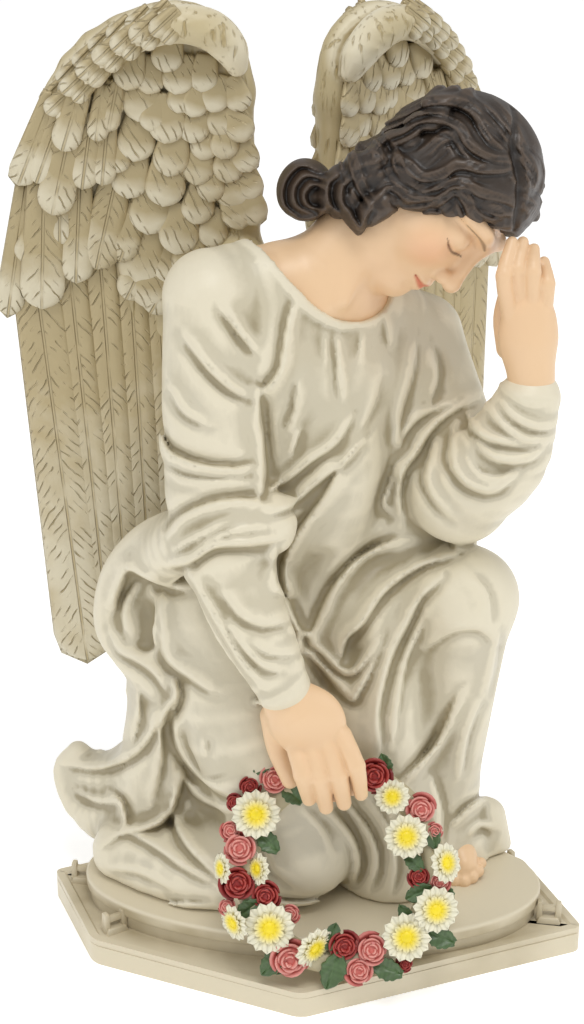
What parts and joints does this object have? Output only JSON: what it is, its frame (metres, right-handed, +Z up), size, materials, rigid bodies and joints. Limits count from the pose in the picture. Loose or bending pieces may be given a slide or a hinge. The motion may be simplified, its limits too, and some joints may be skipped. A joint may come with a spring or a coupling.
{
  "type": "kneeling winged garden statue",
  "caption": "Kneeling winged figure in a draped robe, resting its brow on one hand and lowering the other to a ring of flowers, on a stepped plinth with cut corners.",
  "frame": {"origin": "centre of the plinth's flat underside, before its two corners are cut", "axes": "+Z up, X along the plinth's long side, the figure's front towards -Y"},
  "size_m": [0.1807, 0.1395, 0.3046],
  "materials": {
    "cast_ivory": "painted cast resin, ivory with olive-brown wash in the hollows, soft satin",
    "cast_robe": "painted cast resin, warm ivory robe with skin, hair and blush painted on, satin",
    "cast_wing": "painted cast resin, ivory with dull gold wash between the feathers",
    "painted_flowers": "painted cast resin flowers in dark red, salmon pink, white, yellow and dark green"
  },
  "bodies": {
    "root": {"plinth": "cast_ivory", "kneeling_angel": "cast_robe", "wing_right": "cast_wing", "wing_left": "cast_wing", "flower_ring": "painted_flowers"}
  },
  "joints": []
}
